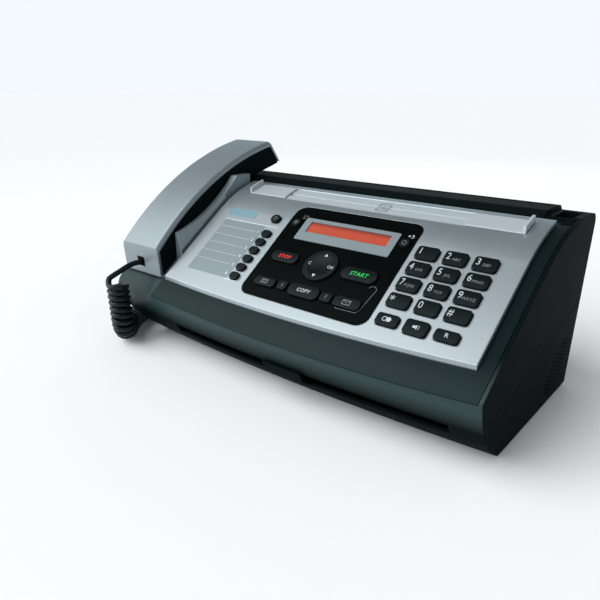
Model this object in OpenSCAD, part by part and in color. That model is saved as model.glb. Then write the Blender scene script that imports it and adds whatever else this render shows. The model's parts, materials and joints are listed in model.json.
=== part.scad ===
/* [Body] */
// Overall width of the machine
body_w = 365; // [340:1:400]
// Depth of the flat underside line behind the front lip, at the back wall
back_y = 80; // [76:1:86]
// Lean of the back wall in degrees
back_lean = 5.7; // [3:0.1:8]
// Wall thickness of the housings
wall = 2.5; // [2:0.1:3]
// Height of the rubber feet
foot_h = 2; // [1.5:0.5:3]
// Open gap along the parting line of the two housings
seam_gap = 0.4; // [0.3:0.1:0.6]

/* [Panel profile] */
// Slope of the straight part of the panel in degrees
slope = 35.5; // [34:0.5:37]
// Radius of the crown that turns the panel level at the back
crown_r = 124; // [120:1:130]
// Depth position of the line where the straight part ends
panel_y = -5; // [-7:0.5:-3]
// Height of the panel at that line
panel_z = 115.45; // [114:0.05:117]
// Thickness of the silver panel plate
plate_t = 3; // [2.5:0.1:3.5]

/* [Front] */
// Plan radius of the bowed front
bow_r = 1907; // [1500:1:2400]
// Depth position of the foremost line of the bow, at the middle
front_y = -94; // [-98:0.25:-90]
// Sideways position of the middle of the bow
bow_x = 20; // [0:1:30]
// Section radius of the bulging front
bulge_r = 71; // [66:1:76]
// Height of the bulge axis
bulge_z = 63.5; // [60:0.5:66]
// Left and right end of the paper exit slot
slot_x = [-95, 160]; // [-120:1:180]
// Top edge of the paper exit slot
slot_top = 29; // [28:0.5:32]

/* [Side seam] */
// Radius of the curved parting line
seam_r = 451; // [400:1:500]
// Depth position of the parting line axis
seam_y = 130; // [120:1:140]
// Height of the parting line at the middle of the machine's depth
seam_z = 51; // [45:0.5:52]

/* [Lid] */
// Width of the handset bay left of the lid
bay_w = 64.5; // [61:0.5:66]
// Running clearance round the lid
lid_gap = 0.4; // [0.3:0.1:0.6]
// Back edge of the lid in the document entry
lid_back_y = 41; // [39:0.5:42]
// Depth position of the lid hinge
hinge_y = 46; // [45:0.5:47]
// Distance of the lid hinge below the panel
hinge_drop = 10.2; // [10:0.05:10.5]
// Radius of the hinge barrel
barrel_r = 6; // [5.5:0.1:6.2]
// Radius of the hinge pin
pin_r = 2.5; // [2:0.1:3]

/* [Silver panel] */
// Inset of the plate from the lid's left edge and from the right side
plate_inset = [3.2, 12.1]; // [3:0.1:13]
// Depth position of the plate's front edge at the middle
plate_front = -76; // [-78:0.25:-74]
// Plan radius of the plate's front edge
plate_bow_r = 2600; // [1900:50:3200]

/* [Display] */
// Left and right edge of the black insert
insert_x = [-29.5, 89.5]; // [-32:0.5:92]
// Lower and upper edge of the insert along the slope
insert_s = [-78, 19]; // [-80:0.5:21]
// Corner radius of the insert
insert_r = 9; // [6:0.5:12]
// Left and right edge of the display bezel
bezel_x = [-13.5, 75.5]; // [-16:0.5:78]
// Lower and upper edge of the display bezel along the slope
bezel_s = [-17.5, 6]; // [-19:0.5:8]
// Left and right edge of the display window
window_x = [-7, 69]; // [-9:0.5:71]
// Lower and upper edge of the display window along the slope
window_s = [-8.6, 2.6]; // [-10:0.2:4]

/* [Keys] */
// Key travel
key_travel = 1.2; // [0.8:0.1:1.5]
// Height of a key cap above the surface round it
key_proud = 2.2; // [1.8:0.1:2.8]
// Clearance round a key
key_gap = 0.4; // [0.3:0.05:0.5]
// Size of a digit key
digit_size = [16.4, 11]; // [9:0.1:17]
// Position of the first digit key, across and along the slope
digit_pos = [103, -8]; // [-20:0.5:110]
// Pitch of the digit keys, across and along the slope
digit_pitch = [21.3, 14.5]; // [13:0.1:22]
// Position of the function row along the slope
function_s = -68; // [-70:0.5:-66]
// Position of the first quick dial key
quick_pos = [-42.2, -18.9]; // [-44:0.1:-17]
// Pitch of the quick dial keys along the slope
quick_pitch = 9.46; // [9:0.02:10]
// Size of a quick dial key
quick_size = [9, 6.6]; // [6:0.1:9.6]
// Radius of the round navigation key
nav_r = 14.4; // [13:0.1:15]
// Position of the navigation key
nav_pos = [28.1, -38.4]; // [-40:0.1:30]

/* [Document table] */
// Inset of the document table from the left and right edge of the plate
table_inset = [15.8, 12]; // [10:0.1:17]
// Front and back edge of the document table
table_y = [17.5, 35.5]; // [17:0.5:36]
// Width of a document guide
guide_w = 43; // [36:1:46]
// Height of the guide fence above the panel
fence_h = 4.5; // [4:0.5:6]

/* [Handset] */
// Inset of the handset from the left end of the machine
handset_inset = 4; // [3.5:0.5:5]
// Width of the handset
handset_w = 51; // [49:0.5:51]
// Radius of the handset's top
handset_r = 272.5; // [268:0.5:277]
// Middle of the handset's top, depth and height
handset_mid = [-4.11, 139.84]; // [-6:0.01:142]
// Thickness of the grip
grip_t = 19.5; // [18:0.5:21]
// Outer diameter of the coiled cord
coil_d = 20; // [18:1:22]
// Diameter of the cord
cord_d = 5; // [4.5:0.1:5.5]

/* [Speaker grille] */
// Diameter of a grille hole
grille_hole = 1.7; // [1.4:0.1:2]
// Spacing of the grille holes
grille_pitch = 3.4; // [3:0.1:4]
// Middle of the grille, depth and height
grille_c = [50, 27]; // [20:0.5:60]

/* [Print works] */
// Radius of the platen roller
platen_r = 9; // [8:0.5:10]
// Platen axis, depth and height
platen_pos = [-22, 60]; // [-30:1:70]
// Film supply spool axis
supply_pos = [30, 62]; // [28:1:66]
// Radius of the fresh film roll
film_r = 19; // [16:0.5:20]
// Half the distance between the chassis side plates
chassis_x = 115; // [113:0.5:115]

/* [Hidden] */
$fn = 64;
// Lap between the parts of one solid
fine = 0.02;
// How far a body runs past a face that trims it
over = 3;
// Lap of the crown over the straight part of the panel
blend = 0.01;
// Reach of a trimming shape past the whole machine
far = 250;
arc_fn = 720;
half_w = body_w/2;
lid_x0 = -half_w + bay_w;
lid_x1 = half_w - wall - lid_gap;
plate_x = [lid_x0 + plate_inset[0], half_w - plate_inset[1]];
table_x = [plate_x[0] + table_inset[0], plate_x[1] - table_inset[1]];
handset_x = [-half_w + handset_inset, -half_w + handset_inset + handset_w];
handset_c = (handset_x[0] + handset_x[1])/2;
plate_d = -plate_t;
lid_d = plate_d - 2.5;
deck_d = -9.5;
cradle_t = 1.5;
chassis_t = 2;
shaft_r = 3;
// Radial play of the shafts and hinge pins in their bearings
shaft_play = 0.06;
roll_x = 108;
gear_x = [116.5, 123];
platen_teeth = 28;
takeup_teeth = 44;
motor_teeth = 12;
motor_r = 18;
motor_dir = -30;
takeup_dir = 225;
cross_bars = [[-22, 44, 20, 2], [4, 46, 3, 12], [-50, 13, 10, 3], [37, 18, 10, 3]];

// Axis of a gear that meshes with another, in direction dir from it
function meshed(pos, dir, n1, n2) = pos + (n1 + n2)/2*[cos(dir), sin(dir)];

// Phase of a gear of n2 teeth that meshes with one of n1 teeth and phase ph1
function mesh_phase(dir, n1, ph1, n2) = dir + 180 - 360/n2*(0.5 - (dir - ph1)*n1/360);

takeup_pos = meshed(platen_pos, takeup_dir, platen_teeth, takeup_teeth);
motor_pos = meshed(platen_pos, motor_dir, platen_teeth, motor_teeth);

// Points of a route whose x is measured from the left end of the machine
function from_end(pts) = [for (p = pts) [p[0] - half_w, p[1], p[2]]];

strand_pts = from_end([[28.8, -69.7, 71], [28.6, -77, 71.2], [28.2, -84, 69.9], [27.5, -91, 67.2],
    [26.5, -97.5, 64.6], [25.5, -102.5, 61.8], [24.9, -104.6, 59.4]]);
coil_pts = from_end([[32.5, -99, 58], [33.1, -99, 46], [33.9, -99, 35], [34.1, -98.8, 26],
    [32.6, -97.2, 18.5], [28.9, -93.5, 12.8], [23.5, -88, 10.4], [16.5, -80.5, 10.3],
    [9.5, -72, 10.3], [2.5, -61, 10.3], [-3.5, -47, 10.3], [-7.5, -32, 10.3]]);
tail_pts = from_end([[-8.1, -31.0, 4], [-10, -24, 5], [-10.5, -15, 7.4], [-9, -6, 11.4],
    [-5.5, 3, 16.2], [-0.5, 11, 20.4], [6, 17, 23.2], [12.5, 19.8, 24], [16.5, 20, 24]]);

crown_y = panel_y + crown_r*sin(slope);
crown_z = panel_z - crown_r*cos(slope);
rim_top = crown_z + crown_r;
hinge_z = crown_z + sqrt(pow(crown_r, 2) - pow(crown_y - hinge_y, 2)) - hinge_drop;
bow_y = front_y + bow_r;
seam_axis_z = seam_z - sqrt(pow(seam_r, 2) - pow(seam_y, 2));
rim_y = hinge_y + barrel_r + lid_gap;
paper_slot_y = [80, 86];
block_x = half_w - 24.5;
paper_slot_x = [lid_x0 - 10, block_x - 4];
pocket_x = [half_w - 19, half_w - 6];
pocket_y = [56.5, 80];
pocket_depth = 14;
board_z = foot_h + wall + 3.5;
board_d = -12.2;
board_t = 1.6;
stem_gap = 0.3;
stem_bottom = board_d + board_t + key_travel + stem_gap;
bow_dir = 119;
handset_cy = handset_mid[0] - handset_r*cos(bow_dir);
handset_cz = handset_mid[1] - handset_r*sin(bow_dir);
mouth_d = deck_d + cradle_t + 0.3;
cradle_x0 = handset_x[0] + 1.5;
hook_w = 10;
hook_y = [42, 48];
hook_gap = 0.4;
side_wall_x = lid_x0 - lid_gap - wall;
socket_size = [16, 14, 11];
socket_pos = [10.5 - half_w, 13, 18.5];
socket_gap = 0.3;
cradle_x1 = lid_x0 - 1;
grille_tilt = 38;
grille_rows = 6;
grille_length = 48;
grille_width = 24;

// Holes of the leaf-shaped grille: staggered rows along the leaf, as points from its middle
grille_points = [for (i = [-grille_rows:grille_rows]) for (j = [-9:9])
    let (u = (j + (i % 2 == 0 ? 0 : 0.5))*grille_pitch, v = i*grille_pitch*0.87)
    if (pow(2*u/grille_length, 2) + pow(2*v/grille_width, 2) < 1
        && in_grille(grille_c + turned([u, v], grille_tilt))) grille_c + turned([u, v], grille_tilt)];

// A point turned by an angle about the origin
function turned(p, a) = [p[0]*cos(a) - p[1]*sin(a), p[0]*sin(a) + p[1]*cos(a)];

// Whether a grille hole lies clear of the seam, the back wall and the floor
function in_grille(p) = p[1] > foot_h + 7 && p[0] < back_at(p[1]) - 6
    && norm(p - [seam_y, seam_axis_z]) < seam_r - 6;

digit_names = ["key_1", "key_2", "key_3", "key_4", "key_5", "key_6",
    "key_7", "key_8", "key_9", "key_star", "key_0", "key_hash"];
quick_names = ["quick_key_1", "quick_key_2", "quick_key_3",
    "quick_key_4", "quick_key_5", "quick_key_6"];

// Each key: name, x, position along the slope, width, height, corner radius
keys = concat(
    [for (i = [0:11]) [digit_names[i], digit_pos[0] + digit_pitch[0]*(i % 3),
        digit_pos[1] - digit_pitch[1]*floor(i/3), digit_size[0], digit_size[1], 2.2]],
    [for (i = [0:5]) [quick_names[i], quick_pos[0], quick_pos[1] - quick_pitch*i,
        quick_size[0], quick_size[1], 2.6]],
    [["contrast_key", digit_pos[0], function_s, digit_size[0], 9, 2.2],
     ["speaker_key", digit_pos[0] + digit_pitch[0], function_s, digit_size[0], digit_size[1], 2.2],
     ["flash_key", digit_pos[0] + 2*digit_pitch[0], function_s, digit_size[0], 8, 2.2],
     ["redial_key", -43.8, -1.5, 9, 7.6, 3.2],
     ["stop_key", -7.7, -37.8, 26, 10, 4.9],
     ["start_key", 63.6, -38.8, 30, 11, 5.4],
     ["copy_key", 28.8, -63.8, 28, 11, 5],
     ["fax_key", -9.6, -64.2, 20, 8, 3],
     ["info_key", 7.9, -63.6, 8.4, 7.6, 2.4],
     ["fine_key", 49.6, -63.9, 9.6, 7.6, 2.4],
     ["mail_key", 67.8, -63.9, 22, 8.6, 3],
     ["intercom_key", -20.8, -1.7, 8.2, 8.2, 4],
     ["answer_key", 82.2, -2.7, 8.2, 8.2, 4]]);

// ---- shared shapes ----

// Height of the straight part of the panel surface, offset by d, above depth y
function slope_z(y, d = 0) = panel_z + (y - panel_y)*tan(slope) + d/cos(slope);

// Point on the straight part: s along the slope from the tangent line, d outwards
function slope_point(s, d = 0) = [panel_y + s*cos(slope) - d*sin(slope),
    panel_z + s*sin(slope) + d*cos(slope)];

// Depth of the back wall's face at height z, inset by t
function back_at(z, t = 0) = back_y + z*tan(back_lean) - t/cos(back_lean);

// Depth of the bowed front at x, behind its foremost line
function bow_at(x) = bow_r - sqrt(pow(bow_r, 2) - pow(x - bow_x, 2));

// A profile in depth and height, extruded across the machine
module along_x(x0, x1) {
    translate([x0, 0, 0]) rotate([90, 0, 90]) linear_extrude(x1 - x0) children();
}

// A profile in width and height, extruded from front to back
module along_y(y0, y1) {
    translate([0, y1, 0]) rotate([90, 0, 0]) linear_extrude(y1 - y0) children();
}

// Places a shape on the straight part of the panel, its z pointing outwards
module on_panel(x, s, d = 0) {
    p = slope_point(s, d);
    translate([x, p[0], p[1]]) rotate([slope, 0, 0]) children();
}

// A cylinder across the machine
module rod(x0, x1, y, z, r) {
    translate([x0, y, z]) rotate([0, 90, 0]) cylinder(r = r, h = x1 - x0);
}

// Everything below the panel surface offset by d
module under_panel(d) {
    r = crown_r + d;
    f = slope_point(-160, d);
    t = slope_point(0, d);
    top = crown_z + r;
    difference() {
        polygon([[f[0], -over], f, [t[0] + (top - t[1])/tan(slope), top], [far, top], [far, -over]]);
        difference() {
            polygon([[crown_y, crown_z], t + 20*[-sin(slope), cos(slope)], [crown_y, top + 30]]);
            translate([crown_y, crown_z]) circle(r + blend, $fn = arc_fn);
        }
    }
}

// The layer between two offsets of the panel surface, between two depths
module panel_band(d0, d1, y0, y1) {
    intersection() {
        difference() {
            under_panel(d1);
            under_panel(d0);
        }
        translate([y0, 0]) square([y1 - y0, far]);
    }
}

// Side view of everything before the back wall and its rounded top corner, inset by t
module body_mask(t, top, r = 8) {
    cz = top - r;
    cy = back_at(cz, r);
    difference() {
        polygon([[-300, foot_h + t], [-300, 300], [back_at(300, t), 300],
            [back_at(foot_h + t, t), foot_h + t]]);
        difference() {
            polygon([[cy, cz], [cy, 310], [back_at(310, -30), 310],
                [cy + 30*cos(back_lean), cz - 30*sin(back_lean)]]);
            translate([cy, cz]) circle(r - t);
        }
    }
}

// Everything behind the bowed, bulging front, inset by t
module front_bow(t) {
    span = 16;
    deep = 330;
    translate([bow_x, bow_y, 0]) rotate([0, 0, -90 - span/2])
        rotate_extrude(angle = span, $fn = arc_fn) {
            translate([bow_r - bulge_r, bulge_z]) circle(bulge_r - t, $fn = 180);
            polygon([[bow_r - deep, -20], [bow_r - bulge_r, -20], [bow_r - bulge_r, bulge_z],
                [bow_r - t, bulge_z], [bow_r - t, far], [bow_r - deep, far]]);
        }
}

// Everything inside the tucked-in left end, inset by t
module left_end(t) {
    along_y(-120, 130) difference() {
        translate([-half_w + t, -30]) square([1.1*body_w, 290]);
        difference() {
            translate([-half_w - 10, -40]) square([40, 40 + bulge_z]);
            translate([-half_w + bulge_r, bulge_z]) circle(bulge_r - t, $fn = 180);
        }
    }
}

// Rounded front left corner in plan, inset by t
module left_corner(t) {
    r = 16;
    cx = -half_w + r;
    cy = front_y + bow_at(cx) + r;
    translate([0, 0, -10]) linear_extrude(250) {
        translate([cx, cy]) circle(r - t);
        translate([cx, -150]) square([body_w, 300]);
        translate([-half_w - 10, cy]) square([body_w, 200]);
    }
}

// The region under the curved parting line, offset by t
module seam_disc(t) {
    along_x(-half_w - 10, half_w + 10)
        translate([seam_y, seam_axis_z]) circle(seam_r + t, $fn = arc_fn);
}

// Keeps what lies inside the outer form, inset by t
module body_form(t) {
    intersection() {
        intersection() {
            front_bow(t);
            left_end(t);
        }
        left_corner(t);
        union() children();
    }
}

// A rectangle with round corners, centred
module round_rect(w, h, r) {
    square([w, h - 2*r], center = true);
    square([w - 2*r, h], center = true);
    for (sx = [-1, 1], sy = [-1, 1]) translate([sx*(w/2 - r), sy*(h/2 - r)]) circle(r);
}

// Outline of a spur gear with n teeth, module 1
module gear_outline(n, phase) {
    pitch = 360/n;
    root = n/2 - 1.15;
    tip = n/2 + 0.85;
    circle(root + 0.02, $fn = 96);
    for (i = [0:n - 1]) rotate(phase + i*pitch)
        polygon([[root - 1, -0.30*pitch*PI/180*n/2], [root, -0.30*pitch*PI/180*n/2],
            [tip, -0.13*pitch*PI/180*n/2], [tip, 0.13*pitch*PI/180*n/2],
            [root, 0.30*pitch*PI/180*n/2], [root - 1, 0.30*pitch*PI/180*n/2]]);
}

// A gear across the machine; its phase is measured from +y towards +z
module gear(x0, x1, y, z, n, phase, bore = 0) {
    along_x(x0, x1) translate([y, z]) difference() {
        gear_outline(n, phase);
        if (bore > 0) circle(bore);
    }
}

// ---- housings ----

// Side view of the raised block behind the document entry, inset by t
module rim_side(t, top) {
    r = 8;
    intersection() {
        body_mask(t, top);
        union() {
            translate([rim_y + r, top - r]) circle(r - t);
            translate([rim_y + t, -20]) square([150, top - r + 20]);
            translate([rim_y + r, -20]) square([150, top - t + 20]);
        }
    }
}

// Side view of the low deck under the handset, inset by t
module deck_side(t) {
    intersection() {
        under_panel(deck_d - t);
        body_mask(t, rim_top);
        translate([-200, -20]) square([200 + rim_y + 3, 260]);
    }
}

// The outside of the upper housing, without its cavity
module upper_outside() {
    cheek_top = rim_top - plate_t;
    along_x(half_w - wall, half_w) intersection() {
        under_panel(plate_d);
        body_mask(0, cheek_top);
    }
    along_x(block_x, half_w) rim_side(0, cheek_top);
    along_x(-half_w - over, block_x) rim_side(0, rim_top);
    along_x(-half_w - over, lid_x0 - lid_gap) deck_side(0);
    along_x(side_wall_x, half_w) intersection() {
        under_panel(plate_d - 1 - lid_gap);
        body_mask(0, rim_top);
        translate([-120, -20]) square([60, 120]);
    }
}

// The cavity of the upper housing
module upper_cavity() {
    along_x(-half_w, side_wall_x) deck_side(wall);
    along_x(-half_w, block_x - wall) rim_side(wall, rim_top);
    along_x(block_x - wall - 1, half_w - wall) rim_side(wall, rim_top - plate_t);
    along_x(lid_x0 - lid_gap, half_w - wall)
        translate([-120, -20]) square([120 + rim_y, 260]);
    along_x(side_wall_x - 1, lid_x0 - lid_gap + 1) intersection() {
        under_panel(deck_d - 6);
        body_mask(wall, rim_top);
    }
}

// Bearing boss of the lid hinge
module hinge_boss(x0, x1) {
    rod(x0, x1, hinge_y, hinge_z, barrel_r - 0.5);
    along_x(x0, x1) polygon([[hinge_y - 2, hinge_z], [hinge_y + barrel_r - 1, hinge_z],
        [rim_y + 0.5, hinge_z - 14], [rim_y + 0.5, hinge_z - 24], [hinge_y - 2, hinge_z - 12]]);
}

// Tray socket, grown by t, up to height top
module pocket(t, top) {
    bottom = rim_top - plate_t - pocket_depth - t;
    translate([pocket_x[0] - t, pocket_y[0] - t, bottom])
        cube([pocket_x[1] - pocket_x[0] + 2*t, pocket_y[1] - pocket_y[0] + 2*t, top - bottom]);
}

// Window that the hook switch moves in
module hook_window() {
    translate([handset_c - hook_w/2 - hook_gap, hook_y[0] - hook_gap, 100])
        cube([hook_w + 2*hook_gap, hook_y[1] - hook_y[0] + 2*hook_gap, 60]);
}

module upper_housing() {
    color([0.07, 0.09, 0.09]) difference() {
        union() {
            difference() {
                body_form(0) upper_outside();
                body_form(wall) upper_cavity();
            }
            hinge_boss(lid_x1 - 7.3, half_w - wall + fine);
            hinge_boss(side_wall_x, lid_x0 + 4.6);
            pocket(1.5, rim_top - plate_t - 0.5);
        }
        seam_disc(0);
        // Hinge bearings
        rod(lid_x1 - 8, lid_x1 - 0.6, hinge_y, hinge_z, pin_r + shaft_play);
        rod(lid_x0 + 0.2, lid_x0 + 6, hinge_y, hinge_z, pin_r + shaft_play);
        // Paper exit slot
        translate([slot_x[0], -110, 0]) cube([slot_x[1] - slot_x[0], 60, slot_top]);
        // Paper feed slot
        translate([paper_slot_x[0], paper_slot_y[0], 110])
            cube([paper_slot_x[1] - paper_slot_x[0], paper_slot_y[1] - paper_slot_y[0], 60]);
        pocket(0, rim_top + 5);
        hook_window();
    }
}

module lower_housing() {
    standoff_r = 3;
    color([0.06, 0.07, 0.07]) {
        difference() {
            intersection() {
                body_form(0) along_x(-half_w - over, half_w) body_mask(0, rim_top);
                seam_disc(-seam_gap);
            }
            body_form(wall) along_x(-half_w, half_w - wall) body_mask(wall, rim_top);
            // Line and mains openings
            translate([-104, back_y - 8, board_z + 1]) cube([24, 20, 15]);
            translate([62, back_y - 8, board_z + 1]) cube([15, 20, 12]);
            // Handset cord opening
            translate([-half_w - 7.5, socket_pos[1] - socket_gap, socket_pos[2] - socket_gap])
                cube([30, socket_size[1] + 2*socket_gap, socket_size[2] + 2*socket_gap]);
            // Speaker grille
            for (p = grille_points) rod(half_w - wall - 1, half_w + 1, p[0], p[1], grille_hole/2);
        }
        // Tongue in the middle of the exit slot
        translate([0, bow_at(32), 0]) along_x(14, 50)
            polygon([[-70, 16], [-77, 17], [-84.5, 22], [-88.6, 30], [-87.1, 30.4],
                [-82.4, 23.5], [-76, 19.5], [-70, 18.5]]);
        // Board stand-offs
        for (x = [-95, 95], y = [-34, 60]) translate([x, y, foot_h + 1])
            cylinder(r = standoff_r, h = board_z - foot_h - 1);
    }
}

module rubber_feet() {
    foot_r = 7;
    color([0.03, 0.03, 0.03]) for (x = [50.5 - half_w, half_w - 22.5], y = [-34, 66])
        translate([x, y, 0]) cylinder(r = foot_r, h = foot_h);
}

// ---- lid ----

module key_openings(d0, d1) {
    for (k = keys) on_panel(k[1], k[2], d0) linear_extrude(d1 - d0)
        round_rect(k[3] + 2*key_gap, k[4] + 2*key_gap, k[5] + key_gap);
    on_panel(nav_pos[0], nav_pos[1], d0) cylinder(r = nav_r + key_gap, h = d1 - d0);
}

// The display's opening, grown by g
module display_opening(g, d0, d1) {
    on_panel((bezel_x[0] + bezel_x[1])/2, (bezel_s[0] + bezel_s[1])/2, d0)
        linear_extrude(d1 - d0)
            round_rect(bezel_x[1] - bezel_x[0] + 2*g, bezel_s[1] - bezel_s[0] + 2*g, 1.2);
}

module lid_shell() {
    side_rib = 6;
    color([0.09, 0.12, 0.12]) difference() {
        union() {
            intersection() {
                along_x(lid_x0, lid_x1) panel_band(plate_d - 1, plate_d, -120, lid_back_y);
                front_bow(0);
            }
            intersection() {
                union() {
                    along_x(lid_x0, lid_x1) panel_band(lid_d, plate_d - 0.5, -120, lid_back_y);
                    for (x = [lid_x0, lid_x1 - 2]) along_x(x, x + 2)
                        panel_band(lid_d - side_rib, lid_d + 0.5, -120, 34);
                }
                front_bow(wall + lid_gap);
            }
            // Hinge barrels with their pins
            for (x = [[lid_x0 + 5, lid_x0 + 15], [lid_x1 - 18.7, lid_x1 - 7.7]]) {
                rod(x[0], x[1], hinge_y, hinge_z, barrel_r);
                along_x(x[0], x[1]) panel_band(lid_d - 3, plate_d, 33, hinge_y - 2);
            }
            rod(lid_x0 + 0.5, lid_x0 + 6, hinge_y, hinge_z, pin_r);
            rod(lid_x1 - 8, lid_x1 - 1, hinge_y, hinge_z, pin_r);
            // Posts that carry the key board
            for (p = [[-33, -10], [-33, -70], [86.8, -72], [86.8, -20], [158.5, -70], [158.5, -8]])
                on_panel(p[0], p[1], board_d + board_t)
                    cylinder(r = 3, h = lid_d - board_d - board_t + 0.5);
        }
        key_openings(lid_d - 1, plate_d + 1);
        display_opening(0.3, lid_d - 1, plate_d + 1);
    }
}

module panel_plate() {
    color([0.55, 0.59, 0.61]) difference() {
        intersection() {
            along_x(plate_x[0], plate_x[1]) panel_band(plate_d, 0, -120, lid_back_y);
            translate([0, plate_front + plate_bow_r, -10])
                cylinder(r = plate_bow_r, h = 200, $fn = 1440);
        }
        key_openings(plate_d - 1, 1);
        insert_prism(0.3);
        along_x(table_x[0] - 0.2, table_x[1] + 0.2)
            panel_band(plate_d - 1, 1, table_y[0] - 0.2, table_y[1] + 0.2);
    }
}

// Prism through the panel with the insert's outline, grown by g
module insert_prism(g) {
    w = insert_x[1] - insert_x[0];
    h = insert_s[1] - insert_s[0];
    on_panel((insert_x[0] + insert_x[1])/2, (insert_s[0] + insert_s[1])/2, -8)
        linear_extrude(14) round_rect(w + 2*g, h + 2*g, insert_r + g);
}

module display_insert() {
    color([0.02, 0.02, 0.02]) difference() {
        intersection() {
            along_x(insert_x[0] - 1, insert_x[1] + 1) panel_band(plate_d, 0.3, -100, 30);
            insert_prism(0);
        }
        key_openings(plate_d - 1, 1.5);
        display_opening(0.15, plate_d - 1, 1.5);
    }
}

module display_module() {
    color([0.45, 0.5, 0.52]) difference() {
        union() {
            display_opening(0, plate_d, 0.9);
            display_opening(-2, -9.4, plate_d + 0.5);
        }
        on_panel((window_x[0] + window_x[1])/2, (window_s[0] + window_s[1])/2, 0)
            linear_extrude(4) square([window_x[1] - window_x[0], window_s[1] - window_s[0]],
                center = true);
    }
}

module document_table() {
    color([0.68, 0.72, 0.74]) difference() {
        along_x(table_x[0], table_x[1]) panel_band(plate_d, -0.8, table_y[0], table_y[1]);
        along_x(table_x[0] - 1, table_x[1] + 1) panel_band(-2, 1, 24.5, 27.5);
    }
}

// A document guide: plate, running rib and fence; side is -1 for left
module document_guide(side) {
    outer = side < 0 ? table_x[0] + 0.3 : table_x[1] - 0.3;
    x0 = side < 0 ? outer : outer - guide_w;
    f0 = side < 0 ? outer : outer - 2;
    color([0.66, 0.7, 0.72]) {
        along_x(x0, x0 + guide_w) panel_band(-0.5, 0.6, table_y[0] + 1, table_y[1] - 1);
        along_x(x0, x0 + guide_w) panel_band(-1.7, 0, 24.8, 27.2);
        along_x(f0, f0 + 2) panel_band(-0.5, fence_h, table_y[0] + 1, table_y[1] - 1);
    }
}
module guide_left() { document_guide(-1); }
module guide_right() { document_guide(1); }

// ---- keys ----

// A key: crowned cap, flange under the lid and stem above its contact
module key_body(w, h, r) {
    crown = 90;
    top = key_proud;
    intersection() {
        translate([0, 0, lid_d - 0.9]) linear_extrude(top - lid_d + 2) round_rect(w, h, r);
        translate([-w, 0, top - crown]) rotate([0, 90, 0]) cylinder(r = crown, h = 2*w, $fn = arc_fn);
    }
    translate([0, 0, lid_d - 1.4]) linear_extrude(1) round_rect(w + 1.4, h + 1.4, r + 0.7);
    translate([0, 0, stem_bottom]) linear_extrude(lid_d - 1 - stem_bottom) square([w - 3, h - 3],
        center = true);
}

module key_at(name) {
    k = [for (q = keys) if (q[0] == name) q][0];
    color([0.05, 0.06, 0.06]) on_panel(k[1], k[2]) key_body(k[3], k[4], k[5]);
}

module nav_key() {
    dish = 60;
    color([0.05, 0.06, 0.06]) on_panel(nav_pos[0], nav_pos[1]) {
        difference() {
            translate([0, 0, lid_d - 0.9]) cylinder(r = nav_r, h = key_proud - lid_d + 0.9);
            translate([0, 0, key_proud + dish - 0.9]) sphere(dish, $fn = 180);
        }
        translate([0, 0, lid_d - 1.4]) cylinder(r = nav_r + 0.7, h = 1);
        translate([0, 0, stem_bottom]) cylinder(r = nav_r - 3, h = lid_d - 1 - stem_bottom);
    }
}

module key_board() {
    key_board_size = [215, 82];
    color([0.1, 0.35, 0.2]) on_panel(55.5, -35, board_d)
        linear_extrude(board_t) square(key_board_size, center = true);
}

// ---- handset ----

// Side view of the handset's length between its end faces, inset by t
module handset_ends(t) {
    polygon([[-71.2 + t, 92], [-68.2 + t, 58], [-60, 40], [95, 130], [90.9 - t, 150.2],
        [77.6 - t, 169], [60, 190], [-60, 120]]);
}

// Everything above the mouthpiece's underside, raised by t
module over_mouth(t) {
    polygon([[-90, slope_z(-90, mouth_d) + t], [0, slope_z(0, mouth_d) + t], [130, 60],
        [130, 240], [-90, 240]]);
}

// A bar of width w swept along the handset's bow, from d0 to d1 below its top
module handset_sweep(w, d0, d1, corner = 0) {
    span = 46;
    translate([handset_c, handset_cy, handset_cz]) rotate([90, 0, 90])
        rotate([0, 0, bow_dir - span/2]) rotate_extrude(angle = span, $fn = arc_fn)
            translate([handset_r, 0]) difference() {
                translate([-d1, -w/2]) square([d1 - d0, w]);
                if (corner > 0) for (s = [-1, 1]) translate([-corner, s*(w/2 - corner)])
                    difference() {
                        translate([0, s > 0 ? 0 : -corner - 1]) square(corner + 1);
                        circle(corner);
                    }
            }
}

module handset_shell() {
    color([0.55, 0.59, 0.61]) difference() {
        intersection() {
            handset_sweep(handset_w, 0, 22, 4);
            along_x(handset_x[0] - 1, handset_x[1] + 1) intersection() {
                handset_ends(0);
                over_mouth(0);
            }
        }
        intersection() {
            union() {
                handset_sweep(handset_w - 3.6, 2.5, 24);
                handset_sweep(handset_w + 2, 4.5, 24);
            }
            along_x(handset_x[0] - 2, handset_x[1] + 2) handset_ends(2.6);
        }
        // Cord socket
        translate([handset_c - 6, -75, 67]) cube([10, 8, 9]);
    }
}

// Side view of the dark lower half of the handset, its top d below the bow
module handset_under(d) {
    intersection() {
        handset_ends(2.8);
        translate([handset_cy, handset_cz]) circle(handset_r - d, $fn = arc_fn);
        union() {
            difference() {
                translate([handset_cy - 200, handset_cz]) square([320, 320]);
                translate([handset_cy, handset_cz]) circle(handset_r - grip_t, $fn = arc_fn);
            }
            intersection() {
                over_mouth(0.2);
                polygon([[-80, 50], [-44, 50], [-33, 98], [-33, 115], [-80, 100]]);
            }
            polygon([[34, 142], [41, 134.9], [87, 147], [95, 150], [80, 175], [34, 150]]);
        }
    }
}

module handset_base() {
    color([0.05, 0.06, 0.06]) {
        along_x(handset_x[0] + 0.6, handset_x[1] - 0.6) handset_under(4.8);
        along_x(handset_x[0] + 2.1, handset_x[1] - 2.1) handset_under(2.8);
    }
}

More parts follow.
